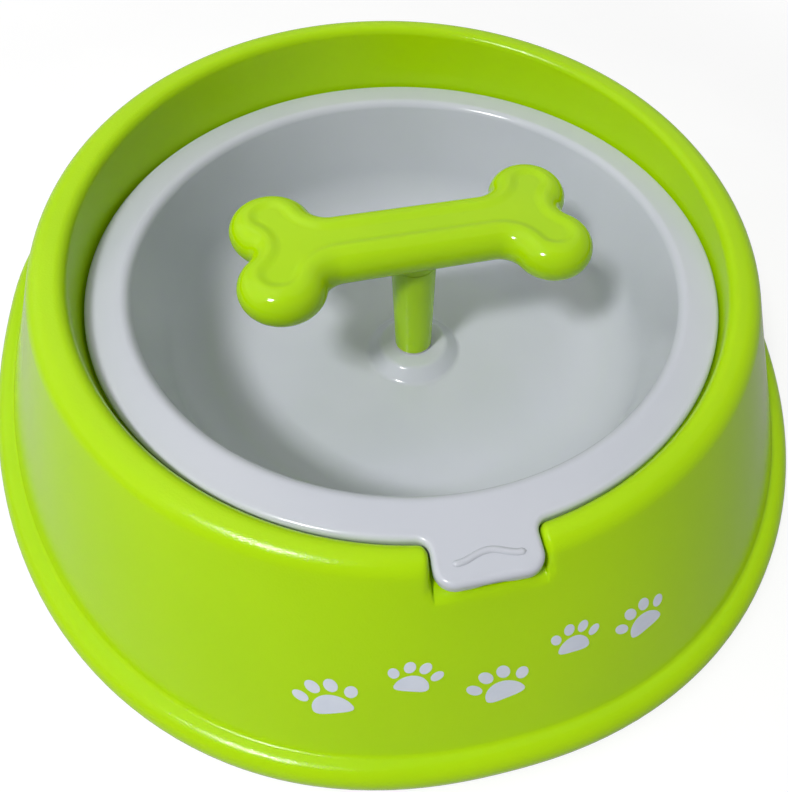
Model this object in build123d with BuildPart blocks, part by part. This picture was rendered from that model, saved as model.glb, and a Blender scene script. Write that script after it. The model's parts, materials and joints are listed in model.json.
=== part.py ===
from build123d import *

import os
from math import atan2, copysign, cos, degrees, hypot, pi, radians, sin

# Slow feeder dog bowl: a moulded stand, a lift-out bowl and a bone-shaped bar that turns on a post.
# Lengths are millimetres. The origin is on the floor, under the middle of the stand, and -Y is the front.

# Stand: footprint
stand_width = 290.0
front_reach = 141.5
back_reach = 166.0
widest_back_of_bowl = 46.0
footprint_power = 2.24
outline_points = 24
wall = 2.5
rim_off_floor = 1.0

# Stand: rolled edge round the foot
edge_height = 9.0
edge_reach = 6.4
edge_top_round = 5.0
edge_bottom_round = 1.6
groove_depth = 5.5

# Stand: crest of the sloping wall, a tilted oval that is highest at the back
crest_over_ledge = 15.0
crest_tilt = 6.1
crest_half_width = 108.6
crest_front_reach = 106.0
crest_back_reach = 107.5
crest_round = 5.0
crest_inner_round = 1.5

# Stand: well that the bowl hangs in
opening_radius = 90.0
ledge_height = 52.0
ledge_thickness = 2.5
well_foot_radius = 98.5
well_draft = 3.5

# Stand: finger recess under the bowl's tab, with its keyed hole
recess_width = 28.0
recess_depth = 3.0
recess_floor_thickness = 2.5
recess_corner_round = 2.5
key_hole_radius = 2.65
key_slot_length = 9.8
key_slot_width = 2.2
key_hole_from_axis = 98.9

# Stand: slots in the ledge for the bowl's ribs
rib_angle = 25.5
slot_width = 3.2
slot_depth = 4.6
slot_mouth_round = 1.2

# Rubber feet in the groove
foot_length = 46.0
foot_clearance = 0.15
foot_turn = 45.0

# Bowl
rim_clearance = 0.5
rim_width = 12.0
skirt_height = 3.5
skirt_thickness = 2.0
rim_thickness = 2.2
rim_outer_round = 1.4
rim_inner_round = 3.0
body_clearance = 1.5
bowl_wall = 2.6
bowl_depth = 51.5
bowl_floor_radius = 80.0
bowl_corner_round = 28.0
kick_height = 4.2
kick_radius = 12.0
kick_slope = 5.0
kick_round = 2.5

# Bowl: finger tab and ribs
tab_width = 27.0
tab_reach = 11.6
tab_round = 4.0
tab_notch_width = 11.0
tab_notch_height = 1.6
ridge_from_axis = 103.2
ridge_length = 18.0
ridge_wave = 15.5
ridge_points_count = 9
ridge_height = 0.7
ridge_width = 1.5
ridge_swing = 0.9
rib_thickness = 2.0
rib_reach = 4.6
rib_drop = 13.0
rib_chamfer = 2.0

# Bone-shaped bar
bone_length = 110.0
lobe_radius = 13.0
lobe_offset = 12.5
bar_width = 24.0
bar_thickness = 13.6
bone_edge_round = 6.6
bone_neck_round = 6.0
bone_over_rim = -1.0
boss_radius = 7.45
boss_height = 3.0
bone_turn_at_rest = 4.0

# Post and what holds it
post_foot_radius = 6.65
spigot_radius = 4.0
spigot_height = 8.0
spigot_clearance = 0.1
seal_thickness = 1.2
seal_radius = 6.4
screw_radius = 2.0
screw_grip = 14.0
screw_fit = 0.05
screw_passage = 0.3
head_radius = 4.0
head_height = 2.4
head_round = 1.2
cross_length = 4.8
cross_width = 1.1
cross_depth = 1.3
washer_radius = 6.5
washer_thickness = 0.8

# How close counts as being on a surface
near = 0.1

# Places that follow from the sizes above
bowl_axis_y = (front_reach - back_reach) / 2
recess_floor_height = ledge_height - recess_depth
crest_height = ledge_height + crest_over_ledge
rim_radius = well_foot_radius - rim_clearance
rim_inner_radius = rim_radius - rim_width
body_radius = opening_radius - body_clearance
rim_top = ledge_height + skirt_height
rib_bottom = ledge_height - rib_drop
notch_radius = (tab_notch_width ** 2 / 4 + tab_notch_height ** 2) / (2 * tab_notch_height)
bowl_bottom = rim_top - bowl_depth
kick_top = bowl_bottom + bowl_wall + kick_height
post_bottom = kick_top + seal_thickness
passage_radius = screw_radius + screw_passage
bone_bottom = rim_top + bone_over_rim
post_top = bone_bottom - boss_height
washer_top = bowl_bottom + kick_height
head_top = washer_top - washer_thickness
lobe_distance = bone_length / 2 - lobe_radius
rib_bearings = [side + swing for side in (-90, 90) for swing in (-rib_angle, rib_angle)]
crest_top = crest_height + crest_back_reach * sin(radians(crest_tilt)) + wall


def at_opening(edge):
    """Whether an edge stands on the wall of the stand's opening, above the recess's floor."""
    middle = edge.center()
    from_axis = hypot(middle.X, middle.Y - bowl_axis_y)
    return abs(from_axis - opening_radius) < near and middle.Z > recess_floor_height


def beside_recess(edge):
    """Whether an edge is one of the finger recess's two corners."""
    return abs(edge.center().X) < recess_width and edge.center().Y < bowl_axis_y


def oval_point(turn, half_width, front, back, middle_y, power):
    """A point on an oval with its own depth to the front and to the back of its middle."""
    across = copysign(abs(cos(turn)) ** (2 / power), cos(turn))
    along = copysign(abs(sin(turn)) ** (2 / power), sin(turn))
    depth = back if along > 0 else front
    return (half_width * across, middle_y + depth * along)


def foot_point(turn, inset):
    """A point on the footprint, drawn in by an inset, in the bowl's own axes."""
    return oval_point(
        turn,
        stand_width / 2 - inset,
        front_reach + widest_back_of_bowl - inset,
        back_reach - widest_back_of_bowl - inset,
        widest_back_of_bowl,
        footprint_power,
    )


def crest_point(turn, inset):
    """A point on the crest's outline in its tilted plane, drawn in by an inset."""
    return oval_point(
        turn, crest_half_width - inset, crest_front_reach - inset, crest_back_reach - inset, 0, 2
    )


def foot_oval(inset):
    """Points round the footprint, drawn in by an inset."""
    return [foot_point(2 * pi * step / outline_points, inset) for step in range(outline_points)]


def crest_oval(inset):
    """Points round the crest, drawn in by an inset."""
    return [crest_point(2 * pi * step / outline_points, inset) for step in range(outline_points)]


def level(height, y=bowl_axis_y, turn=0):
    """A level plane on the bowl's axis."""
    return Plane((0, y, height)).rotated((0, 0, turn))


def upright(bearing):
    """An upright plane through the bowl's axis, with its X axis along a bearing."""
    turn = radians(bearing)
    return Plane((0, bowl_axis_y, 0), x_dir=(cos(turn), sin(turn), 0), z_dir=(sin(turn), -cos(turn), 0))


def wall_radius(height):
    """Outer radius of the bowl's sloping wall at a height."""
    share = (height - bowl_bottom) / (ledge_height - bowl_bottom)
    return bowl_floor_radius + (body_radius - bowl_floor_radius) * share


def ridge_points():
    """Points along the wave on the tab, in the bowl's own axes."""
    points = []
    for step in range(ridge_points_count):
        x = ridge_length * (step / (ridge_points_count - 1) - 1 / 2)
        points.append((x, -ridge_from_axis + ridge_swing * cos(2 * pi * x / ridge_wave)))
    return points


def crest_plane(drop=0):
    """The plane of the crest, lowered by a drop."""
    return Plane((0, bowl_axis_y, crest_height - drop)).rotated((crest_tilt, 0, 0))


# Hollow inside the stand: what the mould's core fills, round the well and under the recess
with BuildPart() as core:
    with BuildSketch(level(0)):
        with BuildLine():
            Spline(*foot_oval(edge_reach + wall), periodic=True)
        make_face()
    extrude(amount=edge_height)
    with BuildSketch(level(edge_height)):
        with BuildLine():
            Spline(*foot_oval(edge_reach + wall), periodic=True)
        make_face()
    with BuildSketch(crest_plane(wall)):
        with BuildLine():
            Spline(*crest_oval(wall), periodic=True)
        make_face()
    loft(ruled=True)
    with BuildSketch(level(ledge_height - ledge_thickness)):
        Circle(well_foot_radius + wall)
    extrude(amount=crest_top, mode=Mode.SUBTRACT)
    with BuildSketch(level(recess_floor_height - recess_floor_thickness)):
        with Locations((0, -front_reach / 2)):
            Rectangle(recess_width + 2 * wall, front_reach)
    extrude(amount=crest_top, mode=Mode.SUBTRACT)

with BuildPart() as stand:
    # Rolled edge round the foot
    with BuildSketch(level(rim_off_floor)):
        with BuildLine():
            Spline(*foot_oval(0), periodic=True)
        make_face()
    extrude(amount=edge_height - rim_off_floor)
    fillet(stand.edges().sort_by(Axis.Z)[-1], edge_top_round)
    fillet(stand.edges().sort_by(Axis.Z)[0], edge_bottom_round)
    # Sloping wall up to the tilted crest
    with BuildSketch(level(edge_height)):
        with BuildLine():
            Spline(*foot_oval(edge_reach), periodic=True)
        make_face()
    with BuildSketch(crest_plane()):
        with BuildLine():
            Spline(*crest_oval(0), periodic=True)
        make_face()
    loft(ruled=True)
    fillet(stand.faces().sort_by(Axis.Z)[-1].edges(), crest_round)
    # Well for the bowl, with its rounded upper lip
    with BuildSketch(level(ledge_height)):
        Circle(well_foot_radius)
    extrude(amount=crest_top, taper=-well_draft, mode=Mode.SUBTRACT)
    fillet(stand.faces().sort_by(Axis.Z)[-1].edges().sort_by(SortBy.LENGTH)[0], crest_inner_round)
    with BuildSketch(level(0)):
        Circle(opening_radius)
    extrude(amount=crest_top, mode=Mode.SUBTRACT)
    add(core.part, mode=Mode.SUBTRACT)
    # Groove under the rolled edge
    with BuildSketch(level(rim_off_floor)):
        with BuildLine():
            Spline(*foot_oval(wall), periodic=True)
        make_face()
        with BuildLine():
            Spline(*foot_oval(edge_reach), periodic=True)
        make_face(mode=Mode.SUBTRACT)
    extrude(amount=groove_depth, mode=Mode.SUBTRACT)
    # Finger recess with its keyed hole
    with BuildSketch(level(recess_floor_height)):
        with Locations((0, -front_reach / 2)):
            Rectangle(recess_width, front_reach)
    extrude(amount=crest_top, mode=Mode.SUBTRACT)
    with BuildSketch(level(recess_floor_height, bowl_axis_y - key_hole_from_axis)):
        Circle(key_hole_radius)
        SlotOverall(key_slot_length, key_slot_width)
    extrude(amount=-recess_floor_thickness, mode=Mode.SUBTRACT)
    # Slots for the bowl's ribs
    for bearing in rib_bearings:
        with BuildSketch(level(ledge_height, turn=bearing)):
            with Locations((opening_radius, 0)):
                SlotOverall(2 * slot_depth, slot_width)
        extrude(amount=-ledge_thickness, mode=Mode.SUBTRACT)
    opening_corners = stand.edges().filter_by(Axis.Z).filter_by(at_opening)
    fillet(opening_corners.filter_by(beside_recess, reverse=True), slot_mouth_round)
    opening_corners = stand.edges().filter_by(Axis.Z).filter_by(at_opening)
    fillet(opening_corners.filter_by(beside_recess), recess_corner_round)
stand.part.label = "stand"


# Rubber feet, each a length of strip pressed into the groove
with BuildPart() as foot_strip:
    with BuildSketch(level(0)):
        with BuildLine():
            Spline(*foot_oval(wall + foot_clearance), periodic=True)
        make_face()
        with BuildLine():
            Spline(*foot_oval(edge_reach - foot_clearance), periodic=True)
        make_face(mode=Mode.SUBTRACT)
    extrude(amount=rim_off_floor + groove_depth)

foot_turns = {
    "front_left": 180 + foot_turn,
    "front_right": -foot_turn,
    "rear_left": 180 - foot_turn,
    "rear_right": foot_turn,
}
feet = []
for place, turn in foot_turns.items():
    across, along = foot_point(radians(turn), (wall + edge_reach) / 2)
    with BuildPart() as foot:
        add(foot_strip.part)
        foot_plane = Plane((across, bowl_axis_y + along, 0)).rotated((0, 0, degrees(atan2(along, across))))
        with BuildSketch(foot_plane):
            Rectangle(foot_length, foot_length)
        extrude(amount=rim_off_floor + groove_depth, mode=Mode.INTERSECT)
    foot.part.label = f"foot_{place}"
    feet.append(foot.part)


# Finger tab of the bowl, with a notch under its front edge and a raised wave on top
with BuildPart() as tab:
    with BuildSketch(level(ledge_height)):
        with Locations((0, -rim_radius - tab_reach)):
            Rectangle(tab_width, tab_reach + skirt_thickness / 2, align=(Align.CENTER, Align.MIN))
    extrude(amount=skirt_height)
    fillet(tab.edges().filter_by(Axis.Z).group_by(Axis.Y)[0], tab_round)
    fillet(tab.faces().sort_by(Axis.Z)[-1].edges().sort_by(Axis.Y)[:-1], rim_outer_round)
    with BuildSketch(Plane.XZ.offset(rim_radius + tab_reach - bowl_axis_y)):
        with Locations((0, ledge_height + tab_notch_height - notch_radius)):
            Circle(notch_radius)
    extrude(amount=-tab_reach, mode=Mode.SUBTRACT)
    with BuildSketch(level(rim_top)):
        with BuildLine() as wave:
            Spline(*ridge_points())
        trace(wave.line, ridge_width)
    extrude(amount=ridge_height)

# Bowl: one turned wall with a kicked-up middle and a turned-down rim
with BuildPart() as bowl:
    add(tab.part)
    with BuildSketch(upright(0)):
        with BuildLine():
            FilletPolyline(
                (passage_radius, washer_top),
                (kick_radius - bowl_wall, washer_top),
                (kick_radius - bowl_wall + kick_slope, bowl_bottom),
                (bowl_floor_radius, bowl_bottom),
                (body_radius, ledge_height),
                (body_radius, rim_top - rim_thickness),
                (rim_radius - skirt_thickness, rim_top - rim_thickness),
                (rim_radius - skirt_thickness, ledge_height),
                (rim_radius, ledge_height),
                (rim_radius, rim_top),
                (rim_inner_radius, rim_top),
                (bowl_floor_radius - bowl_wall, bowl_bottom + bowl_wall),
                (kick_radius + kick_slope, bowl_bottom + bowl_wall),
                (kick_radius, kick_top),
                (passage_radius, kick_top),
                radius=[0, kick_round, kick_round, bowl_corner_round, 0, 0, 0, 0, 0, rim_outer_round,
                        rim_inner_round, bowl_corner_round - bowl_wall, kick_round, kick_round, 0],
                close=True,
            )
        make_face()
    revolve(axis=Axis((0, bowl_axis_y, 0), (0, 0, 1)))
    # Ribs under the rim that drop into the ledge's slots
    for bearing in rib_bearings:
        with BuildSketch(upright(bearing)):
            with BuildLine():
                Polyline(
                    (body_radius - bowl_wall / 2, rim_top - rim_thickness),
                    (body_radius + rib_reach, rim_top - rim_thickness),
                    (body_radius + rib_reach, rib_bottom + rib_chamfer),
                    (body_radius + rib_reach - rib_chamfer, rib_bottom),
                    (wall_radius(rib_bottom) - bowl_wall / 2, rib_bottom),
                    close=True,
                )
            make_face()
        extrude(amount=rib_thickness / 2, both=True)
bowl.part.label = "bowl"


# Bone-shaped bar with its boss and the socket for the post's spigot
with BuildPart() as bone_bar:
    with BuildSketch(level(bone_bottom, turn=bone_turn_at_rest)) as bone_plan:
        Rectangle(2 * lobe_distance, bar_width)
        with GridLocations(2 * lobe_distance, 2 * lobe_offset, 2, 2):
            Circle(lobe_radius)
        fillet(bone_plan.vertices(), bone_neck_round)
    extrude(amount=bar_thickness)
    fillet(bone_bar.edges().filter_by(Axis.Z, reverse=True), bone_edge_round)
    with BuildSketch(level(post_top)):
        Circle(boss_radius)
    extrude(amount=boss_height + bone_edge_round)
    with BuildSketch(level(post_top)):
        Circle(spigot_radius + spigot_clearance)
    extrude(amount=spigot_height, mode=Mode.SUBTRACT)
bone_bar.part.label = "bone_bar"


# Post that carries the bar, with the pilot bore for the screw
with BuildPart() as bone_post:
    with BuildSketch(level(post_bottom)):
        Circle(post_foot_radius)
    with BuildSketch(level(post_top)):
        Circle(boss_radius)
    loft()
    with BuildSketch(level(post_top)):
        Circle(spigot_radius)
    extrude(amount=spigot_height - spigot_clearance)
    with BuildSketch(level(post_bottom)):
        Circle(screw_radius + screw_fit)
    extrude(amount=screw_grip + screw_passage, mode=Mode.SUBTRACT)
bone_post.part.label = "bone_post"


# Ring between the foot of the post and the bowl's floor
with BuildPart() as post_seal:
    with BuildSketch(level(kick_top)):
        Circle(seal_radius)
        Circle(passage_radius, mode=Mode.SUBTRACT)
    extrude(amount=seal_thickness)
post_seal.part.label = "post_seal"


# Screw from below, with a cross recess in its domed head
with BuildPart() as post_screw:
    with BuildSketch(level(head_top)):
        Circle(head_radius)
    extrude(amount=-head_height)
    fillet(post_screw.edges().sort_by(Axis.Z)[0], head_round)
    with BuildSketch(level(head_top)):
        Circle(screw_radius)
    extrude(amount=post_bottom + screw_grip - head_top)
    with BuildSketch(level(head_top - head_height)):
        Rectangle(cross_length, cross_width)
        Rectangle(cross_width, cross_length)
    extrude(amount=cross_depth, mode=Mode.SUBTRACT)
post_screw.part.label = "post_screw"


# Washer between the screw's head and the bowl
with BuildPart() as screw_washer:
    with BuildSketch(level(head_top)):
        Circle(washer_radius)
        Circle(passage_radius, mode=Mode.SUBTRACT)
    extrude(amount=washer_thickness)
screw_washer.part.label = "screw_washer"


os.makedirs("parts", exist_ok=True)
for foot_part in feet:
    export_step(foot_part, f"parts/{foot_part.label}.step")
export_step(stand.part, "parts/stand.step")
export_step(bowl.part, "parts/bowl.step")
export_step(bone_bar.part, "parts/bone_bar.step")
export_step(bone_post.part, "parts/bone_post.step")
export_step(post_seal.part, "parts/post_seal.step")
export_step(post_screw.part, "parts/post_screw.step")
export_step(screw_washer.part, "parts/screw_washer.step")
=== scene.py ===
import json
from math import cos, degrees, pi, radians, sin, tan

import bmesh
import bpy
import numpy as np
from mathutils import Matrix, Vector
from mathutils.bvhtree import BVHTree


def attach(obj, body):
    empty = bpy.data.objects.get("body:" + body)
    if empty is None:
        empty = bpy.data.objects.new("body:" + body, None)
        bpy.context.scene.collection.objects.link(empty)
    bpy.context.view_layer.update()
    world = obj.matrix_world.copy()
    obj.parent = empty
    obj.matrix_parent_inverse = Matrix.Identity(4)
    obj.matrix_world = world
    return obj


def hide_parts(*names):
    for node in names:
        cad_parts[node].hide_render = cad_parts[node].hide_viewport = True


# Slow feeder dog bowl. Meshes are worked out in millimetres about the bowl's axis and moved into the frame.
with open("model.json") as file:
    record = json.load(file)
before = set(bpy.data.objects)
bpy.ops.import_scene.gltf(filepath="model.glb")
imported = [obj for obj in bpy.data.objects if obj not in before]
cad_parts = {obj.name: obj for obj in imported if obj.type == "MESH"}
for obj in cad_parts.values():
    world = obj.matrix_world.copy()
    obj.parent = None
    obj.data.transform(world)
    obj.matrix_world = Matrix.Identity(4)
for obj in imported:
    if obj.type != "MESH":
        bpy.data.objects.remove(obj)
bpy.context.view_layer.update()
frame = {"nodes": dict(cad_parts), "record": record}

AXIS_Y = -12.25
MM = 0.001
WHITE = (1.0, 1.0, 1.0)


# Materials
def new_material(name):
    """A material with its node tree, to add detail to, and its shader."""
    material = bpy.data.materials.new(name)
    material.use_nodes = True
    tree = material.node_tree
    return material, tree, tree.nodes["Principled BSDF"]


def set_inputs(node, levels):
    """Sets inputs of a node by their names."""
    for name, level in levels.items():
        node.inputs[name].default_value = level


def noise(tree, scale, detail=3.0, rough=0.6):
    """A noise texture in the object's own coordinates."""
    node = tree.nodes.new("ShaderNodeTexNoise")
    set_inputs(node, {"Scale": scale, "Detail": detail, "Roughness": rough})
    tree.links.new(tree.nodes.new("ShaderNodeTexCoord").outputs["Object"], node.inputs["Vector"])
    return node.outputs["Fac"]


def spread(tree, value, low, high, at_low=0.0, at_high=1.0):
    """The value, mapped smoothly from one range to another."""
    node = tree.nodes.new("ShaderNodeMapRange")
    set_inputs(node, {"From Min": low, "From Max": high, "To Min": at_low, "To Max": at_high})
    node.interpolation_type = "SMOOTHSTEP"
    tree.links.new(value, node.inputs["Value"])
    return node.outputs["Result"]


def tint(tree, value, low, high, colours):
    """A colour between two, for a value between two."""
    node = tree.nodes.new("ShaderNodeValToRGB")
    ramp = node.color_ramp
    ramp.interpolation = "EASE"
    for element, place, colour in zip(ramp.elements, (low, high), colours):
        element.position = place
        element.color = (*colour, 1.0)
    tree.links.new(value, node.inputs["Fac"])
    return node.outputs["Color"]


def bump(tree, shader, height, strength, distance, before=None):
    """Surface relief on the shader, on top of the relief given as before."""
    node = tree.nodes.new("ShaderNodeBump")
    set_inputs(node, {"Strength": strength, "Distance": distance})
    tree.links.new(height, node.inputs["Height"])
    if before is not None:
        tree.links.new(before, node.inputs["Normal"])
    tree.links.new(node.outputs["Normal"], shader.inputs["Normal"])
    return node.outputs["Normal"]


def maths(tree, operation, *values):
    """A sum or product of two or three values, each a number or a socket."""
    node = tree.nodes.new("ShaderNodeMath")
    node.operation = operation
    for socket, value in zip(node.inputs, values):
        if isinstance(value, (int, float)):
            socket.default_value = value
        else:
            tree.links.new(value, socket)
    return node.outputs["Value"]


# Share of the surround's white that shows in reflections
MIRRORED_WHITE = 0.25


def shown_white(tree):
    """How white the surround is: 1 to the camera, a share where it is mirrored, 0 as light."""
    path = tree.nodes.new("ShaderNodeLightPath")
    mirrored = maths(tree, "MAXIMUM", path.outputs["Is Glossy Ray"], path.outputs["Is Transmission Ray"])
    mirrored = maths(tree, "MULTIPLY", mirrored, MIRRORED_WHITE)
    return maths(tree, "MAXIMUM", path.outputs["Is Camera Ray"], mirrored)


def linear(*levels):
    """A colour given as it looks on screen, 0 to 255, turned into light."""
    shares = [level / 255.0 for level in levels]
    return tuple(share / 12.92 if share <= 0.04045 else ((share + 0.055) / 1.055) ** 2.4 for share in shares)


def moulded_plastic(name, colours, gloss, shine, grain, scatter, scatter_colour):
    """Glossy moulded plastic: slow waves, fine grain and haze in the skin, and a little light under it."""
    material, tree, shader = new_material(name)
    slow = noise(tree, scale=22.0, detail=2.0, rough=0.5)
    fine = noise(tree, scale=1700.0, detail=2.0, rough=0.6)
    haze = noise(tree, scale=34.0, detail=1.0, rough=0.4)
    tree.links.new(tint(tree, slow, 0.1, 0.9, colours), shader.inputs["Base Color"])
    tree.links.new(spread(tree, haze, 0.0, 1.0, *gloss), shader.inputs["Roughness"])
    waves = bump(tree, shader, slow, strength=0.10, distance=0.0010)
    bump(tree, shader, fine, strength=grain, distance=0.00010, before=waves)
    set_inputs(shader, {"IOR": 1.49, "Specular IOR Level": shine, "Subsurface Weight": scatter,
                        "Subsurface Radius": scatter_colour, "Subsurface Scale": 0.004})
    return material


def soft_rubber(name, colours, gloss):
    """Rubber with a fine moulded grain."""
    material, tree, shader = new_material(name)
    slow = noise(tree, scale=60.0, rough=0.5)
    fine = noise(tree, scale=1800.0)
    tree.links.new(tint(tree, slow, 0.3, 0.7, colours), shader.inputs["Base Color"])
    tree.links.new(spread(tree, slow, 0.3, 0.7, *gloss), shader.inputs["Roughness"])
    bump(tree, shader, fine, strength=0.35, distance=0.00012)
    return material


def printed_ink(name, colours, gloss):
    """Pad-printed ink, a little uneven, with a dull fine grain."""
    material, tree, shader = new_material(name)
    slow = noise(tree, scale=120.0)
    fine = noise(tree, scale=2600.0)
    tree.links.new(tint(tree, slow, 0.1, 0.9, colours), shader.inputs["Base Color"])
    tree.links.new(spread(tree, slow, 0.0, 1.0, *gloss), shader.inputs["Roughness"])
    bump(tree, shader, fine, strength=0.25, distance=0.00004)
    return material


def turned_steel(name, colours, gloss):
    """Stainless steel with fine turning marks round the screw's axis."""
    material, tree, shader = new_material(name)
    wave = tree.nodes.new("ShaderNodeTexWave")
    wave.wave_type = "RINGS"
    wave.rings_direction = "Z"
    set_inputs(wave, {"Scale": 900.0, "Distortion": 2.0})
    tree.links.new(tree.nodes.new("ShaderNodeTexCoord").outputs["Object"], wave.inputs["Vector"])
    slow = noise(tree, scale=400.0)
    tree.links.new(tint(tree, slow, 0.3, 0.7, colours), shader.inputs["Base Color"])
    tree.links.new(spread(tree, slow, 0.3, 0.7, *gloss), shader.inputs["Roughness"])
    shader.inputs["Metallic"].default_value = 1.0
    bump(tree, shader, wave.outputs["Fac"], strength=0.25, distance=0.00003)
    return material


LIME = (linear(172, 218, 0), linear(179, 224, 0))
UNDER_LIME = (0.6, 1.0, 0.05)
GREY = (linear(197, 201, 210), linear(203, 206, 214))
BLACK_RUBBER = (linear(34, 34, 35), linear(44, 44, 45))
PALE_SILICONE = (linear(190, 190, 186), linear(204, 204, 200))
STEEL = (linear(176, 177, 180), linear(196, 197, 199))
PALE_INK = (linear(206, 213, 228), linear(220, 226, 238))

lime = moulded_plastic("lime_plastic_look", LIME, gloss=(0.13, 0.18), shine=0.24, grain=0.55,
                       scatter=0.12, scatter_colour=UNDER_LIME)
polished_lime = moulded_plastic("lime_polished_look", LIME, gloss=(0.08, 0.12), shine=0.32, grain=0.016,
                                scatter=0.12, scatter_colour=UNDER_LIME)
grey = moulded_plastic("grey_plastic_look", GREY, gloss=(0.13, 0.19), shine=0.42, grain=0.024,
                       scatter=0.10, scatter_colour=WHITE)
rubber = soft_rubber("foot_rubber_look", BLACK_RUBBER, gloss=(0.62, 0.78))
silicone = soft_rubber("seal_rubber_look", PALE_SILICONE, gloss=(0.40, 0.52))
steel = turned_steel("screw_steel_look", STEEL, gloss=(0.24, 0.38))

LOOKS = {"lime_plastic": lime, "grey_plastic": grey, "foot_rubber": rubber, "seal_rubber": silicone,
         "screw_steel": steel}
for part in frame["record"]["subparts"]:
    node = frame["nodes"][part["node"]]
    node.data.materials.clear()
    node.data.materials.append(LOOKS[part["material_slot"]])
frame["nodes"]["bone_post"].data.materials[0] = polished_lime


# Mesh helpers
def smooth_step(value, low, high):
    """0 below low, 1 above high, smooth between."""
    share = np.clip((np.asarray(value, float) - low) / (high - low), 0, 1)
    return share * share * (3 - 2 * share)


def smooth_min(first, second, reach):
    """The lower of two heights, with their meeting rounded."""
    gap = np.maximum(reach - np.abs(first - second), 0)
    return np.minimum(first, second) - gap * gap / (4 * reach)


def drawn_back(distance, size):
    """How far a rounded corner draws back, at a distance from where it begins."""
    beside = np.clip(size - distance, 0, size)
    return size - np.sqrt(np.maximum(size ** 2 - beside ** 2, 0))


def rounded_profile(corners):
    """Rows round a closed profile, and the corner that each belongs to, or half a step past it.

    Corners are (radius, height, round, steps of the round, rows up to the next corner), the first two as
    numbers or as arrays over the columns.
    """
    places = np.array([np.broadcast_arrays(*np.atleast_1d(*corner[:2])) for corner in corners])
    runs = np.roll(places, -1, 0) - places
    lengths = np.linalg.norm(runs, axis=1)
    ways = runs / lengths[:, None]
    inner = np.arccos(np.clip((-np.roll(ways, 1, 0) * ways).sum(1), -0.999999, 0.999999))
    wanted = np.array([corner[2] for corner in corners])[:, None] / np.tan(inner / 2)
    room = 0.94 * lengths / np.maximum(wanted + np.roll(wanted, -1, 0), 1e-6)
    arcs = []
    for index, here in enumerate(places):
        steps = corners[index][3]
        if steps == 0:
            arcs.append([here])
            continue
        back, ahead = -ways[index - 1], ways[index]
        reach = wanted[index] * np.minimum(1, np.minimum(room[index - 1], room[index]))
        size = reach * np.tan(inner[index] / 2)
        inwards = (back + ahead) / np.linalg.norm(back + ahead, axis=0)
        middle = here + inwards * size / np.sin(inner[index] / 2)
        start, end = here + back * reach - middle, here + ahead * reach - middle
        turn = pi - inner[index]
        arc = []
        for share in np.linspace(0, 1, steps + 1):
            spoke = np.sin((1 - share) * turn) * start + np.sin(share * turn) * end
            arc.append(middle + spoke / np.sin(turn))
        arcs.append(arc)
    rows, owner = [], []
    for index, (arc, after) in enumerate(zip(arcs, arcs[1:] + arcs[:1])):
        rows += arc
        owner += [index] * len(arc)
        between = corners[index][4]
        for step in range(between):
            share = (step + 1) / (between + 1)
            rows.append(arc[-1] + (after[0] - arc[-1]) * share)
            owner.append(index + 0.5)
    rows = np.array(rows)
    return rows[:, 0], rows[:, 1], np.array(owner)


def grid_faces(rows, columns, close_rows=True):
    """Faces of a grid of points whose columns run all the way round, as do its rows unless left open."""
    faces = []
    for row in range(rows if close_rows else rows - 1):
        for column in range(columns):
            below, beside = (row + 1) % rows, (column + 1) % columns
            faces.append((row * columns + column, row * columns + beside,
                          below * columns + beside, below * columns + column))
    return faces


def turned(x, y, angle):
    """Places in plan turned about the origin."""
    return x * cos(angle) - y * sin(angle), x * sin(angle) + y * cos(angle)


def new_object(name, data):
    """An object of a mesh, lamp or camera, put in the scene."""
    made = bpy.data.objects.new(name, data)
    bpy.context.scene.collection.objects.link(made)
    return made


def mesh_object(name, points, faces, material, sharp=40.0):
    """An object from points and faces, smooth but for its sharp edges, with its faces turned outwards."""
    placed = (np.asarray(points, float) + (0, AXIS_Y, 0)) * MM
    mesh = bpy.data.meshes.new(name)
    mesh.from_pydata(placed.tolist(), [], [tuple(int(corner) for corner in face) for face in faces])
    shape = bmesh.new()
    shape.from_mesh(mesh)
    bmesh.ops.recalc_face_normals(shape, faces=shape.faces)
    if shape.calc_volume(signed=True) < 0:
        bmesh.ops.reverse_faces(shape, faces=shape.faces)
    shape.to_mesh(mesh)
    shape.free()
    smooth_but_sharp(mesh, sharp)
    mesh.materials.append(material)
    return new_object(name, mesh)


def grid_object(name, points, material):
    """An object from a closed grid of points, rows by columns."""
    rows, columns = points.shape[:2]
    return mesh_object(name, points.reshape(-1, 3), grid_faces(rows, columns), material)


def smooth_but_sharp(mesh, sharp):
    """Shades a mesh smooth, but for edges that turn by more than an angle in degrees."""
    mesh.polygons.foreach_set("use_smooth", [True] * len(mesh.polygons))
    mesh.set_sharp_from_angle(angle=radians(sharp))


def even_shading(piece):
    """Normals weighted by face size, so that flat faces stay flat beside rounded edges."""
    even = piece.modifiers.new("even_shading", "WEIGHTED_NORMAL")
    even.keep_sharp = True
    even.weight = 80


def cut(piece, points, faces):
    """Takes a closed form out of a piece."""
    tool = mesh_object("cutting_form", points, faces, piece.data.materials[0])
    change = piece.modifiers.new("cut", "BOOLEAN")
    change.operation = "DIFFERENCE"
    change.solver = "EXACT"
    change.object = tool
    done = bpy.data.meshes.new_from_object(piece.evaluated_get(bpy.context.evaluated_depsgraph_get()))
    piece.modifiers.clear()
    old, piece.data = piece.data, done
    done.name = old.name + "_cut"
    bpy.data.meshes.remove(old)
    spare = tool.data
    bpy.data.objects.remove(tool)
    bpy.data.meshes.remove(spare)
    smooth_but_sharp(done, 40.0)


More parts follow.
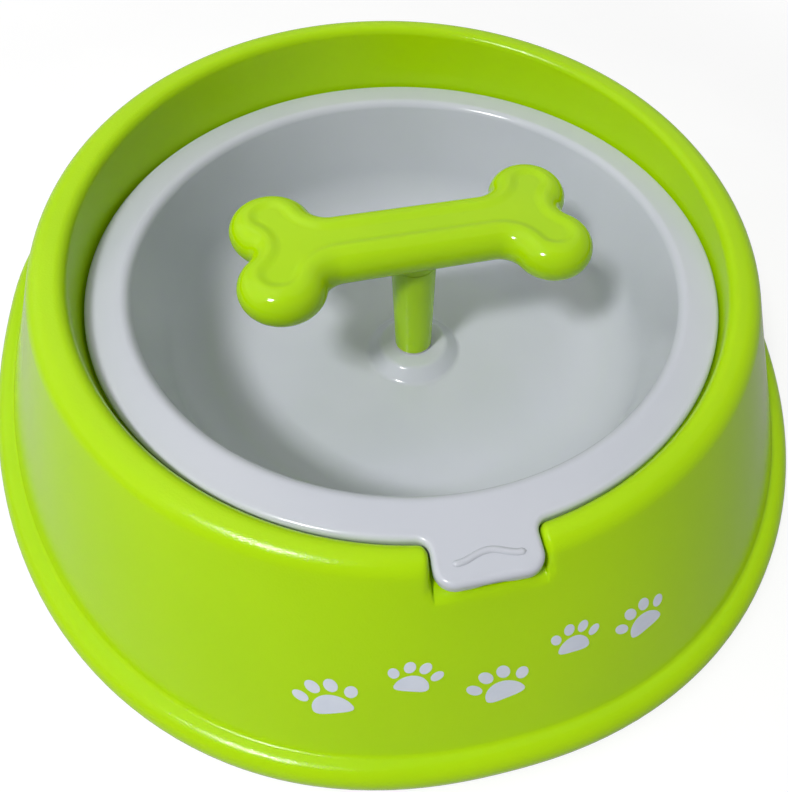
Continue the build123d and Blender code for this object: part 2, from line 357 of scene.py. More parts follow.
def stacked_rings(rings):
    """Points and faces of a closed form from rings of points, capped at both ends."""
    count = len(rings[0])
    points = np.concatenate(rings)
    caps = [tuple(range(count)), tuple(range(len(points) - 1, len(points) - count - 1, -1))]
    return points, caps + grid_faces(len(rings), count, close_rows=False)


def with_left_half(points):
    """A grid whose columns run from the front to the back on the right, with the left half added."""
    mirrored = points[:, -2:0:-1] * (-1, 1, 1)
    return np.concatenate([points, mirrored], 1)


# Stand: levels above the floor, and reaches from the bowl's axis
THICK = 2.5
LEDGE, RECESS_FLOOR, WAIST = 52.0, 49.0, 46.0
OPENING, WELL, WELL_DRAFT = 90.0, 98.5, radians(3.5)
CREST, CREST_TILT = 66.98, radians(6.1)
CREST_SIDE, CREST_FRONT, CREST_BACK = 108.6, 106.0, 107.5

# Footprint: half width, how far behind the axis it is widest, its reach from there, and its fullness
FOOT_SIDE, FOOT_WIDEST, FOOT_FRONT, FOOT_BACK, FOOT_FULLNESS = 145.0, 46.0, 187.5, 120.0, 2.24

# Rolled edge round the foot, which stands out from the wall, and the groove under it
EDGE_OUT, EDGE_TOP, OFF_FLOOR, GROOVE_TOP = 6.4, 9.0, 1.0, 6.5

# Rounds along the profile
LIP_ROUND, WELL_ROUND, CREST_INNER_ROUND, CREST_OUTER_ROUND = 0.4, 0.7, 3.0, 6.5
CREASE_ROUND, EDGE_ROUND, MOULD_ROUND = 1.6, 5.0, 0.3

# Finger recess: half width, rounds at the foot and crown of its sides, and rounds in plan at their ends
RECESS_HALF, SIDE_FOOT, SIDE_CROWN = 14.0, 1.0, 1.5
WELL_CORNER, WALL_CORNER, RECESS_FLARE = 2.0, 2.6, 2.5

# How softly the recess's floor runs out of the wall, and where its corners and flare end, in degrees
FLOOR_BLEND = 2.2
CORNERS_TO, FLARE_FROM, FLARE_TO = 12.5, 9.9, 14.5

# Depths of the recess that give whole corners at the well and at the wall, and where across the latter set in
WELL_DEEP, WALL_DEEP, CORNER_BAND = 2.5, 1.5, (8.0, 13.0)

# Heights over which the recess's underside opens out, and how far the well's wall leans out below the recess
UNDER_BAND, RECESS_LEAN = (38.0, 46.0), 1.2

# Columns of the grid across the recess and just beside it, closer together towards its side
FLOOR_COLUMNS = (0, 1.6, 3.2, 4.8, 6.4, 8.0, 9.6, 11.0, 12.0, 12.6)
BESIDE_COLUMNS = (15.9, 16.4, 17.0, 17.8, 18.8)

# Bearings up to which columns run straight out of the recess, and from which they are radial
STRAIGHT_TO, RADIAL_FROM = 12.8, 21.0

# Steps between plain columns before the front slot and behind it, and gaps past the slots, in degrees
NEAR_STEP, STEP, PAST_FRONT, PAST_BACK = 1.1, 2.0, 0.6, 0.8

# Slots for the bowl's ribs: bearings, half width, depth, rounds, and reach of the columns beside them
RIB_BEARINGS = (25.5, 154.5)
SLOT_HALF, SLOT_DEPTH, SLOT_MOUTH, SLOT_END, SLOT_REACH = 1.6, 4.6, 1.2, 0.6, 5.2

# Places in the stand's list of profile corners, by which rows are told apart
WELL_FOOT, CREST_INNER, CREASE, INNER_WALL, UNDER_LIP = 1, 2, 5, 13, 17


def foot_table(inset):
    """Reach of the footprint, drawn in by an inset, against the bearing from the front."""
    turn = np.linspace(-pi / 2, pi / 2, 721)
    power = 2 / FOOT_FULLNESS
    across = (FOOT_SIDE - inset) * np.abs(np.cos(turn)) ** power
    along = np.sign(np.sin(turn)) * np.abs(np.sin(turn)) ** power
    along = FOOT_WIDEST + np.where(along > 0, FOOT_BACK - inset, FOOT_FRONT - inset) * along
    return np.arctan2(across, -along), np.hypot(across, along)


def lines(base):
    """How columns run outwards: straight out of the recess near the front, and radial elsewhere."""
    lean = base * smooth_step(np.degrees(base), STRAIGHT_TO, RADIAL_FROM)
    return lean, OPENING * np.sin(base - lean)


def bearing_at(radius, lean, offset):
    """Bearing of a column where it passes a radius."""
    return lean + np.arcsin(np.clip(offset / radius, -1, 1))


def solve(radius_of, lean, offset, start):
    """The radius at which a column meets a curve that is given against the bearing."""
    radius = np.full_like(offset, start)
    for _ in range(12):
        radius = radius_of(bearing_at(radius, lean, offset))
    return radius


def foot_reach(inset, lean, offset):
    """Where each column meets the footprint, drawn in by an inset."""
    table = foot_table(inset)
    return solve(lambda turn: np.interp(turn, *table), lean, offset, 140.0)


def crest_reach(inset, lean, offset):
    """Where each column meets the crest's outline, drawn in by an inset."""
    def oval(turn):
        depth = np.where(np.cos(turn) > 0, CREST_FRONT - inset, CREST_BACK - inset) * cos(CREST_TILT)
        return 1 / np.sqrt((np.sin(turn) / (CREST_SIDE - inset)) ** 2 + (np.cos(turn) / depth) ** 2)
    return solve(oval, lean, offset, 110.0)


def crest_height(radius, lean, offset, drop=0.0):
    """Height of the tilted crest at a radius, or of the plane that lies a drop below it."""
    fall = tan(CREST_TILT) * radius * np.cos(bearing_at(radius, lean, offset))
    return CREST - fall - drop / cos(CREST_TILT)


def recess_columns():
    """Columns of the recess and just beside it: place across, kind, and share of the way through it."""
    side = [("low", step / 4) for step in range(5)] + [("face", 0.33), ("face", 0.67)]
    side += [("high", step / 6) for step in range(7)]
    width = SIDE_FOOT + SIDE_CROWN
    columns = [(place, "floor", 0.0) for place in FLOOR_COLUMNS]
    for index, (kind, share) in enumerate(side):
        columns.append((RECESS_HALF - SIDE_FOOT + width * index / (len(side) - 1), kind, share))
    return columns + [(place, "top", 0.0) for place in BESIDE_COLUMNS]


def plain_columns(start, end, step):
    """Columns at even steps between two bearings in degrees: bearing, and no slot shift."""
    count = max(1, round((end - start) / step))
    return [(radians(start + (end - start) * index / count), 0.0, 0.0) for index in range(count)]


def slot_columns(middle):
    """Columns across a slot: bearing, and the shift that lays each along the slot's outline."""
    mouth, deep = SLOT_HALF + SLOT_MOUTH, SLOT_DEPTH - SLOT_END
    path = [(-SLOT_REACH, 0), (-4.4, 0), (-3.7, 0), (-3.2, 0)]
    path += [(SLOT_MOUTH * sin(turn) - mouth, SLOT_MOUTH - SLOT_MOUTH * cos(turn))
             for turn in np.linspace(0, pi / 2, 5)]
    path += [(-SLOT_HALF, 1.9), (-SLOT_HALF, 2.6)]
    path += [(SLOT_END - SLOT_HALF - SLOT_END * cos(turn), deep + SLOT_END * sin(turn))
             for turn in np.linspace(0, pi / 2, 4)]
    path += [(-0.5, SLOT_DEPTH)]
    path += [(0.0, SLOT_DEPTH)] + [(-across, out) for across, out in reversed(path)]
    columns = []
    for turn, (across, out) in zip(np.linspace(-SLOT_REACH, SLOT_REACH, len(path)) / OPENING, path):
        goal = (OPENING + out) * np.array([sin(across / OPENING), cos(across / OPENING)])
        shift = goal - OPENING * np.array([sin(turn), cos(turn)])
        columns.append((radians(middle) + turn, *shift))
    return columns


def stand_columns():
    """Columns of the right half, from the front to the back: bearing, kind with share, and slot shift."""
    recess = recess_columns()
    front, back = RIB_BEARINGS
    half = degrees(SLOT_REACH / OPENING)
    columns = [(np.arcsin(place / OPENING), 0.0, 0.0) for place, _, _ in recess]
    columns += plain_columns(STRAIGHT_TO, front - half, NEAR_STEP) + slot_columns(front)
    columns += plain_columns(front + half + PAST_FRONT, back - half, STEP) + slot_columns(back)
    columns += plain_columns(back + half + PAST_BACK, 180.0, STEP) + [(pi, 0.0, 0.0)]
    kinds = [(kind, share) for _, kind, share in recess]
    kinds += [("top", 0.0)] * (len(columns) - len(kinds))
    columns = np.array(columns)
    return columns[:, 0], kinds, columns[:, 1:]


def on_floor(kind, share):
    """How far a column belongs to the recess's floor: 1 on it, 0 on the crest."""
    return {"floor": 1.0, "low": 1.0, "face": 1.0 - share}.get(kind, 0.0)


def stand_profile(lean, offset, floor_share):
    """Rows of the stand without its recess: radius, height and corner, and the crest's two reaches."""
    edge, edge_inside = foot_reach(0.0, lean, offset), foot_reach(THICK, lean, offset)
    wall, wall_inside = foot_reach(EDGE_OUT, lean, offset), foot_reach(EDGE_OUT + THICK, lean, offset)
    opening, well_outside = np.full_like(lean, OPENING), np.full_like(lean, WELL + THICK)
    crest_in = np.full_like(lean, WELL)
    for _ in range(8):
        crest_in = WELL + tan(WELL_DRAFT) * (crest_height(crest_in, lean, offset) - LEDGE)
    crest_out, crest_under = crest_reach(0.0, lean, offset), crest_reach(THICK, lean, offset)
    crest_edge = crest_height(crest_out, lean, offset)
    waist_share = (crest_edge - WAIST) / (crest_edge - EDGE_TOP)
    waist = crest_out + (wall - crest_out) * waist_share
    corners = [
        (opening, LEDGE, LIP_ROUND, 3, 5),
        (np.full_like(lean, WELL), LEDGE, WELL_ROUND, 4, 4),
        (crest_in, crest_height(crest_in, lean, offset), CREST_INNER_ROUND, 8, 2),
        (crest_out, crest_edge, CREST_OUTER_ROUND, 12, 18),
        (waist, WAIST, 0, 0, 10),
        (wall, EDGE_TOP, CREASE_ROUND, 6, 1),
        (edge, EDGE_TOP, EDGE_ROUND, 10, 1),
        (edge, OFF_FLOOR, CREASE_ROUND, 6, 0),
        (edge_inside, OFF_FLOOR, MOULD_ROUND, 2, 1),
        (edge_inside, GROOVE_TOP, MOULD_ROUND, 2, 0),
        (wall, GROOVE_TOP, MOULD_ROUND, 2, 1),
        (wall, OFF_FLOOR, MOULD_ROUND, 2, 0),
        (wall_inside, OFF_FLOOR, MOULD_ROUND, 2, 1),
        (wall_inside, EDGE_TOP, 0, 0, 8),
        (crest_under, crest_height(crest_under, lean, offset, THICK), 0, 0, 1),
        (well_outside + RECESS_LEAN * floor_share, crest_height(well_outside, lean, offset, THICK), 0, 0, 1),
        (well_outside, LEDGE - THICK, 0, 0, 3),
        (opening, LEDGE - THICK, MOULD_ROUND, 3, 0),
    ]
    return (*rounded_profile(corners), crest_in, crest_out)


def side_column(kind, share, bottom, crown):
    """Place across and height of a column in the recess's side: in its foot, its face or its crown."""
    rise = np.maximum(crown - bottom, 0)
    scale = np.minimum(1, rise / (SIDE_FOOT + SIDE_CROWN + 0.3))
    foot, head = SIDE_FOOT * scale, SIDE_CROWN * scale
    sine, cosine = sin(share * pi / 2), cos(share * pi / 2)
    if kind == "low":
        return RECESS_HALF - foot + foot * sine, bottom + foot - foot * cosine
    if kind == "face":
        return np.full_like(bottom, RECESS_HALF), bottom + foot + (rise - foot - head) * share
    return RECESS_HALF + head - head * cosine, crown - head + head * sine


def sink_recess(offset, height, lowered, kinds, floor_share):
    """Places across and heights with the recess sunk in, its side standing on a stack of columns."""
    x = np.broadcast_to(offset, height.shape).copy()
    z = height.copy()
    for column, (kind, share) in enumerate(kinds):
        bottom, crown = lowered[:, column], height[:, column]
        if kind == "floor":
            z[:, column] = bottom
        elif kind != "top":
            settled = smooth_step(np.maximum(crown - bottom, 0), 0.05, 1.0)
            place, level = side_column(kind, share, bottom, crown)
            x[:, column] += (place - x[:, column]) * settled
            faded = (crown - bottom) * (1 - settled) * (1 - floor_share[column])
            z[:, column] = bottom + (level - bottom) * settled + faded
    return x, z


def round_recess_ends(radius, x, rise, base, offset, crest_in, crest_out):
    """Radii with the recess's corners rounded in plan where its sides meet the well and the outer wall."""
    middle, half = (crest_in + crest_out) / 2, (crest_out - crest_in) / 2
    towards_wall = np.clip((radius - middle) / half, 0, 1)
    on_ledge = np.clip((radius - OPENING) / (WELL - OPENING), 0, 1)
    towards_well = np.where(radius < WELL, on_ledge, np.clip((middle - radius) / half, 0, 1))
    outwards = drawn_back(x - RECESS_HALF, WELL_CORNER) * towards_well * np.clip(rise / WELL_DEEP, 0, 1)
    inwards = drawn_back(x - RECESS_HALF, WALL_CORNER) * towards_wall * np.clip(rise / WALL_DEEP, 0, 1)
    inwards = inwards * smooth_step(offset, *CORNER_BAND)
    return radius + np.where(base < radians(CORNERS_TO), outwards - inwards, 0)


def flared_recess(radius, height, base, offset, ledge, under):
    """How far the recess opens out sideways: towards the bowl's opening, and by a wall on the underside."""
    flare = np.where(ledge, drawn_back(radius - OPENING, RECESS_FLARE), 0)
    flare = np.where(under, THICK * smooth_step(height, *UNDER_BAND), flare)
    fade = np.where(base <= np.arcsin(RECESS_HALF / OPENING),
                    (np.minimum(offset, RECESS_HALF) / RECESS_HALF) ** 2,
                    1 - smooth_step(np.degrees(base), FLARE_FROM, FLARE_TO))
    return flare * fade


def slot_shift(radius, base, shift):
    """Shift in plan that opens the slots in the ledge, whole at the opening and none at the well."""
    middle = np.where(base < pi / 2, *np.radians(RIB_BEARINGS))
    across = np.stack([np.cos(middle), np.sin(middle)], -1)
    outwards = np.stack([np.sin(middle), -np.cos(middle)], -1)
    pull = np.clip((WELL - radius) / (WELL - OPENING), 0, 1) ** 1.3
    return pull[..., None] * (shift[:, :1] * across + shift[:, 1:] * outwards)


def stand_points():
    """The grid of the stand's shell, rows by columns."""
    base, kinds, shift = stand_columns()
    lean, offset = lines(base)
    lean = np.where([kind == "top" for kind, _ in kinds], lean, 0.0)
    floor_share = np.array([on_floor(kind, share) for kind, share in kinds])
    radius, height, owner, crest_in, crest_out = stand_profile(lean, offset, floor_share)
    rows = owner[:, None] * np.ones_like(base)
    top = rows < CREASE
    ledge = (rows < WELL_FOOT) | (rows >= UNDER_LIP)
    under = rows > INNER_WALL

    # The recess lowers the top and the underside alike
    lowered = smooth_min(RECESS_FLOOR, height, FLOOR_BLEND)
    lowered = np.where(ledge, height - (LEDGE - RECESS_FLOOR), lowered)
    lowered = np.where(under & ~ledge, np.minimum(height, RECESS_FLOOR - THICK), lowered)
    lowered = np.where(top | under, lowered, height)
    rise = np.maximum(height - lowered, 0)
    x, z = sink_recess(offset, height, lowered, kinds, floor_share)

    # Rows on the well's wall are spaced out where the recess flattens them
    start, end = np.argmax(owner >= WELL_FOOT), np.argmax(owner > CREST_INNER)
    even = radius[start] + (radius[end] - radius[start]) * np.linspace(0, 1, end - start + 1)[:, None]
    radius[start:end + 1] += (even - radius[start:end + 1]) * floor_share

    rounded = round_recess_ends(radius, x, rise, base, offset, crest_in, crest_out)
    radius = np.where(top, rounded, radius)
    x = x + flared_recess(radius, height, base, offset, ledge, under)
    turn = lean + np.arcsin(np.clip(x / radius, -1, 1))
    points = np.stack([radius * np.sin(turn), -radius * np.cos(turn), z], -1)
    points[..., :2] += slot_shift(radius, base, shift)
    return with_left_half(points)


# Keyed hole in the recess's floor: reach of its middle, half length and width of its slot, and round hole
HOLE_REACH, KEY_LENGTH, KEY_WIDTH, KEY_HOLE = 98.9, 4.9, 1.1, 2.65

# Growth of the hole's outline at heights about the recess's floor: a chamfer above a straight cut
HOLE_CUT = ((0.75, 0.5), (0.0, -0.3), (0.0, -3.0))


def keyed_outline(grow):
    """Outline of the keyed hole: a round hole on a narrow slot."""
    length, width, hole = KEY_LENGTH + grow, KEY_WIDTH + grow, KEY_HOLE + grow
    meet = np.arcsin(width / hole)
    path = []
    for side in (1, -1):
        path += [(side * (length - width + width * cos(turn)), side * width * sin(turn))
                 for turn in np.linspace(-pi / 2, pi / 2, 9)]
        path += [(side * hole * cos(turn), side * hole * sin(turn))
                 for turn in np.linspace(meet, pi - meet, 15)]
    return np.array(path)


stand = grid_object("stand_shell", stand_points(), lime)
hole_rings = []
for grow, above in HOLE_CUT:
    plan = keyed_outline(grow)
    level = np.full(len(plan), RECESS_FLOOR + above)
    hole_rings.append(np.column_stack([plan[:, 0], plan[:, 1] - HOLE_REACH, level]))
cut(stand, *stacked_rings(hole_rings))
even_shading(stand)
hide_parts("stand")
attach(stand, "stand")


# Printed paw trail on the front wall
wall_tree = BVHTree.FromPolygons([tuple(vertex.co) for vertex in stand.data.vertices],
                                 [tuple(face.vertices) for face in stand.data.polygons])

# Wall at the print's middle: its reach, and its height for a distance along it
PRINT_REACH, PRINT_RISE = 122.0, 0.86

# Rays that lay the print on the wall: their start outside it, in millimetres, and how steeply they fall
RAY_REACH, RAY_HEIGHT, RAY_FALL = 170.0, 59.0, 0.62
INK_PROUD, INK_SUNK = 0.05, -0.2

# Pads of a paw, as shares of its size: place, half width and height, lean, and fullness, the main one first
PADS = ((0, -0.30, 0.50, 0.40, 0.0, 2.5),
        (-0.66, 0.16, 0.17, 0.26, 0.35, 2.0), (-0.24, 0.52, 0.18, 0.28, 0.1, 2.0),
        (0.24, 0.52, 0.18, 0.28, -0.1, 2.0), (0.66, 0.16, 0.17, 0.26, -0.35, 2.0))
PAD_RINGS, PAD_COLUMNS = (0.0, 0.45, 0.8, 1.0), 36

# How far the main pad is raised, its ends bend down and it narrows upwards
PAD_LIFT, PAD_BEND, PAD_TAPER = 0.1, 0.28, 0.16

# Prints of the trail: place along the wall and up it, size and turn
TRAIL = ((-41.0, -9.0, 9.6, 0.34), (-20.5, 0.5, 8.2, -0.20), (0.5, -7.5, 9.6, 0.26),
         (21.0, 2.5, 8.2, -0.16), (41.0, -3.5, 9.6, 0.20))


def wall_points(ring):
    """Points of a ring laid on the stand's outer wall: a little proud of it, and a little sunk into it."""
    laid = [], []
    for along, up in ring:
        bearing = along / PRINT_REACH
        start = (RAY_REACH * sin(bearing), AXIS_Y - RAY_REACH * cos(bearing), RAY_HEIGHT + up * PRINT_RISE)
        aim = Vector((-sin(bearing), cos(bearing), -RAY_FALL)).normalized()
        place, normal, _, _ = wall_tree.ray_cast(Vector([length * MM for length in start]), aim)
        if normal.dot(aim) > 0:
            normal = -normal
        for sheet, proud in zip(laid, (INK_PROUD, INK_SUNK)):
            spot = place + normal * (proud * MM)
            sheet.append((spot.x / MM, spot.y / MM - AXIS_Y, spot.z / MM))
    return [np.array(sheet) for sheet in laid]


def pad(middle_x, middle_y, half_wide, half_high, turn, fullness):
    """Rings of one pad of a paw, in the flat of the wall, from its middle outwards."""
    rings = []
    for scale in PAD_RINGS:
        angle = np.linspace(0, 2 * pi, PAD_COLUMNS, endpoint=False)
        x = half_wide * scale * np.sign(np.cos(angle)) * np.abs(np.cos(angle)) ** (2 / fullness)
        y = half_high * scale * np.sign(np.sin(angle)) * np.abs(np.sin(angle)) ** (2 / fullness)
        if fullness > 2.0:
            y = y + half_high * scale * (PAD_LIFT - PAD_BEND * (np.abs(x) / half_wide) ** 2)
            x = x * (1 - PAD_TAPER * y / half_high)
        right, up = turned(x, y, turn)
        rings.append(np.stack([middle_x + right, middle_y + up], -1))
    return rings


def paw(points, faces, along, up, size, turn):
    """One paw print: a main pad and four toes, as thin closed slabs that follow the wall."""
    for x, y, half_wide, half_high, lean, fullness in PADS:
        x, y = turned(x, y, turn)
        rings = pad(along + size * x, up + size * y, half_wide * size, half_high * size,
                    turn + lean, fullness)
        outer, inner = zip(*[wall_points(ring) for ring in rings])
        slab = [outer[0][:1], *outer[1:], *inner[:0:-1], inner[0][:1]]
        offsets = []
        for ring in slab:
            offsets.append(len(points))
            points.extend(ring.tolist())
        for index in range(PAD_COLUMNS):
            beside = (index + 1) % PAD_COLUMNS
            faces.append((offsets[0], offsets[1] + index, offsets[1] + beside))
            for ring in range(1, len(slab) - 2):
                faces.append((offsets[ring] + index, offsets[ring + 1] + index,
                              offsets[ring + 1] + beside, offsets[ring] + beside))
            faces.append((offsets[-1], offsets[-2] + beside, offsets[-2] + index))


def printed_trail():
    """Five paw prints that wander up to the right, larger and smaller in turn."""
    points, faces = [], []
    for along, up, size, turn in TRAIL:
        paw(points, faces, along, up, size, turn)
    ink = printed_ink("pad_print_ink", PALE_INK, gloss=(0.42, 0.56))
    return mesh_object("printed_paws", points, faces, ink)


trail = printed_trail()
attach(trail, "stand")


# Bowl: its rim, whose turned-down wall lies on the ledge, with the tab and the finger notch under the tab
RIM_TOP, RIM_FOOT, RIM_REACH, RIM_THICK, RIM_WALL = 55.5, 52.0, 98.0, 2.2, 2.0
TAB_HALF, TAB_FRONT, TAB_CORNER, TAB_BLEND = 13.5, 109.6, 5.2, 3.5
NOTCH_HALF, NOTCH_RISE, NOTCH_FROM = 5.7, 1.35, 104.0

# Body outside and inside: reach at the rim and at the floor, the floor's level, and the round there
BODY_TOP_REACH, BODY_FOOT_REACH, BODY_UNDER, BODY_ROUND = 88.5, 80.0, 4.0, 28.0
DISH_TOP_REACH, DISH_FOOT_REACH, DISH_FLOOR, DISH_ROUND = 86.0, 77.4, 6.6, 25.4

# Raised seat of the post, with a hole for its screw and a pocket below
SEAT_TOP, SEAT_REACH, SEAT_FOOT, SEAT_HOLE = 10.8, 12.0, 17.0, 2.3
POCKET_TOP, POCKET_REACH, POCKET_FOOT, SEAT_ROUND = 8.2, 9.4, 14.4, 2.5

# Places in the bowl's list of profile corners, and where its rows leave the round for the tab's outline
RIM_INSIDE, RIM_OUTSIDE = 7, 8
ROUND_TO, OUTLINE_BAND = 94.0, 1.6


def arc_points(middle_x, middle_y, size, start, end, count):
    """Points and outward directions along an arc, angles in degrees from +X."""
    made = []
    for angle in np.radians(np.linspace(start, end, count)):
        made.append((middle_x + size * cos(angle), middle_y + size * sin(angle), cos(angle), sin(angle)))
    return made


def hollow_arc_points(middle_x, middle_y, size, start, end, count):
    """Points along an arc that the outline bends round from outside, so that outward is to its middle."""
    arc = arc_points(middle_x, middle_y, size, start, end, count)
    return [(x, y, -out_x, -out_y) for x, y, out_x, out_y in arc]


def bowl_outline():
    """Right half of the rim's outline, from the tab to the back: place, outward direction, bearing."""
    flat = TAB_HALF - TAB_CORNER
    path = [(x, -TAB_FRONT, 0.0, -1.0) for x in np.linspace(0, flat, 13)]
    path += arc_points(flat, TAB_CORNER - TAB_FRONT, TAB_CORNER, -90, 0, 9)[1:]
    blend_x = TAB_HALF + TAB_BLEND
    blend_y = -((RIM_REACH + TAB_BLEND) ** 2 - blend_x ** 2) ** 0.5
    meet = np.degrees(np.arctan2(-blend_y, -blend_x))
    path += hollow_arc_points(blend_x, blend_y, TAB_BLEND, 180, meet, 7)
    start = np.arctan2(path[-1][0], -path[-1][1])
    bearing = list(np.linspace(0, start, len(path)))
    near = np.linspace(start, radians(24), 10)[1:]
    far = np.radians(np.linspace(24, 180, 79))[1:]
    for turn in np.concatenate([near, far]):
        path.append((RIM_REACH * sin(turn), -RIM_REACH * cos(turn), sin(turn), -cos(turn)))
        bearing.append(turn)
    return np.array(path), np.array(bearing)


def bowl_profile():
    """Rows of the turned bowl, round its section."""
    under_rim, inside = RIM_TOP - RIM_THICK, RIM_REACH - RIM_WALL
    radius, height, owner = rounded_profile([
        (SEAT_HOLE, POCKET_TOP, 0.2, 2, 2),
        (POCKET_REACH, POCKET_TOP, SEAT_ROUND, 6, 0),
        (POCKET_FOOT, BODY_UNDER, SEAT_ROUND, 6, 4),
        (BODY_FOOT_REACH, BODY_UNDER, BODY_ROUND, 20, 6),
        (BODY_TOP_REACH, RIM_FOOT, 0, 0, 0),
        (BODY_TOP_REACH, under_rim, 0.6, 3, 2),
        (inside, under_rim, 0.5, 3, 0),
        (inside, RIM_FOOT, 0.3, 2, 4),
        (RIM_REACH, RIM_FOOT, 0.5, 3, 1),
        (RIM_REACH, RIM_TOP, 1.5, 7, 5),
        (DISH_TOP_REACH, RIM_TOP, 3.0, 10, 8),
        (DISH_FOOT_REACH, DISH_FLOOR, DISH_ROUND, 24, 8),
        (SEAT_FOOT, DISH_FLOOR, 3.0, 8, 1),
        (SEAT_REACH, SEAT_TOP, 3.0, 8, 2),
        (SEAT_HOLE, SEAT_TOP, 0.3, 2, 1),
    ])
    return radius[:, 0], height[:, 0], owner


def bowl_points():
    """The grid of the bowl's turned wall, its rim and its tab, rows by columns."""
    path, bearing = bowl_outline()
    edge, out = path[:, :2], path[:, 2:]
    side = np.stack([np.sin(bearing), -np.cos(bearing)], -1)
    in_notch = np.clip(edge[:, 0] / NOTCH_HALF, -1, 1)
    notch = np.where(np.hypot(*edge.T) > NOTCH_FROM, NOTCH_RISE * (0.5 + 0.5 * np.cos(pi * in_notch)), 0)
    rim_inside, low_edge = RIM_REACH - RIM_WALL, RIM_FOOT + 1.0
    radius, height, owner = bowl_profile()
    points = np.empty((len(radius), len(bearing), 3))
    points[..., :2] = radius[:, None, None] * side
    points[..., 2] = height[:, None]
    for row, (reach, level, corner) in enumerate(zip(radius, height, owner)):
        if RIM_INSIDE <= corner < RIM_OUTSIDE + 1 and level < low_edge and reach >= rim_inside:
            share = (reach - rim_inside) / RIM_WALL
            inner = rim_inside * side
            points[row, :, :2] = inner + (edge - inner) * share
            points[row, :, 2] += notch * smooth_step(share, 0.0, 0.35)
        elif corner >= RIM_OUTSIDE and reach > ROUND_TO and level > RIM_FOOT:
            share = min(1.0, (reach - ROUND_TO) / (RIM_REACH - OUTLINE_BAND - ROUND_TO))
            inner, outer = ROUND_TO * side, edge - out * min(RIM_REACH - reach, OUTLINE_BAND)
            points[row, :, :2] = inner + (outer - inner) * share
    return with_left_half(points)


# Ribs under the rim, which run into the body from the root inwards
RIB_HALF, RIB_TOP, RIB_FOOT, RIB_REACH, RIB_CORNER = 1.0, 53.0, 39.0, 93.1, 2.0
RIB_ROOT_TOP, RIB_ROOT_FOOT, RIB_BEVEL = 86.6, 84.8, 0.35

# Raised wave on the tab: its middle line's length, reach, swing and wavelength, and its section and grid
RIDGE_LENGTH, RIDGE_REACH, RIDGE_SWING, RIDGE_WAVE = 18.0, 103.2, 0.95, 15.5
RIDGE_HALF, RIDGE_RISE, RIDGE_ROOT, RIDGE_COLUMNS, RIDGE_ROWS = 0.95, 0.62, 0.25, 61, 8


def new_ring(shape, places):
    """Vertices at places given in millimetres about the bowl's axis."""
    return [shape.verts.new((x * MM, (y + AXIS_Y) * MM, z * MM)) for x, y, z in places]


def join_rings(shape, first, second):
    """Faces between two rings of the same number of points."""
    faces = []
    for index in range(len(first)):
        after = (index + 1) % len(first)
        faces.append(shape.faces.new((first[index], first[after], second[after], second[index])))
    return faces


def rib_shape(shape, bearing):
    """A thin rib under the rim, standing out from the body, with its lower corner cut off."""
    outline = [(RIB_ROOT_TOP, RIB_TOP), (RIB_REACH, RIB_TOP), (RIB_REACH, RIB_FOOT + RIB_CORNER),
               (RIB_REACH - RIB_CORNER, RIB_FOOT), (RIB_ROOT_FOOT, RIB_FOOT)]
    along = np.array([sin(bearing), -cos(bearing)])
    across = np.array([cos(bearing), sin(bearing)])
    left, right = [new_ring(shape, [(*(along * reach + across * offset), level) for reach, level in outline])
                   for offset in (-RIB_HALF, RIB_HALF)]
    faces = [shape.faces.new(left), shape.faces.new(right[::-1])]
    faces += join_rings(shape, right, left)
    edges = {edge for face in faces for edge in face.edges}
    bmesh.ops.bevel(shape, geom=list(edges), offset=RIB_BEVEL * MM, segments=2, affect="EDGES", profile=0.5)


def ridge_shape(shape):
    """The raised wave on the tab: a rounded bead that turns at both ends and dies out there."""
    rings = []
    for index in range(RIDGE_COLUMNS):
        share = index / (RIDGE_COLUMNS - 1)
        x = RIDGE_LENGTH * (share - 0.5)
        phase = 2 * pi * x / RIDGE_WAVE
        y = RIDGE_SWING * cos(phase) - RIDGE_REACH
        slope = -RIDGE_SWING * 2 * pi / RIDGE_WAVE * sin(phase)
        normal = np.array([-slope, 1.0]) / np.hypot(slope, 1.0)
        swell = min(1.0, (1 - abs(2 * share - 1)) * 9.0) ** 0.5
        ring = []
        for turn in np.linspace(0, pi, RIDGE_ROWS):
            flat = normal * RIDGE_HALF * cos(turn) * max(swell, 0.05)
            z = RIM_TOP - RIDGE_ROOT + (RIDGE_ROOT + RIDGE_RISE * swell) * sin(turn)
            ring.append((x + flat[0], y + flat[1], z))
        rings.append(new_ring(shape, ring))
    for first, second in zip(rings, rings[1:]):
        join_rings(shape, first, second)
    shape.faces.new(rings[0])
    shape.faces.new(rings[-1][::-1])


def add_shapes(piece, *makers):
    """More closed forms in a piece's mesh."""
    shape = bmesh.new()
    shape.from_mesh(piece.data)
    old = set(shape.faces)
    for maker in makers:
        maker(shape)
    bmesh.ops.recalc_face_normals(shape, faces=[face for face in shape.faces if face not in old])
    shape.to_mesh(piece.data)
    shape.free()
    smooth_but_sharp(piece.data, 40.0)


bowl = grid_object("bowl_shell", bowl_points(), grey)
rib_bearings = [radians(side * turn) for turn in RIB_BEARINGS for side in (1, -1)]
add_shapes(bowl, ridge_shape, *[lambda shape, turn=turn: rib_shape(shape, turn) for turn in rib_bearings])
even_shading(bowl)
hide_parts("bowl")
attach(bowl, "bowl")


# Bone: lobes, the necks between lobe and bar, the notch between two lobes, and half the bar's width
LOBE_X, LOBE_Y, LOBE, NECK, NOTCH = 42.0, 12.5, 13.0, 6.0, 4.5
BAR = 12.0
BONE_FOOT, BONE_THICK, BONE_TURN = 54.5, 13.6, 4.0

# How far the bar's top is sunk, as a share of half its thickness, and where along it this fades out
BAR_SINK, SINK_ENDS = 0.045, (22.0, 36.0)

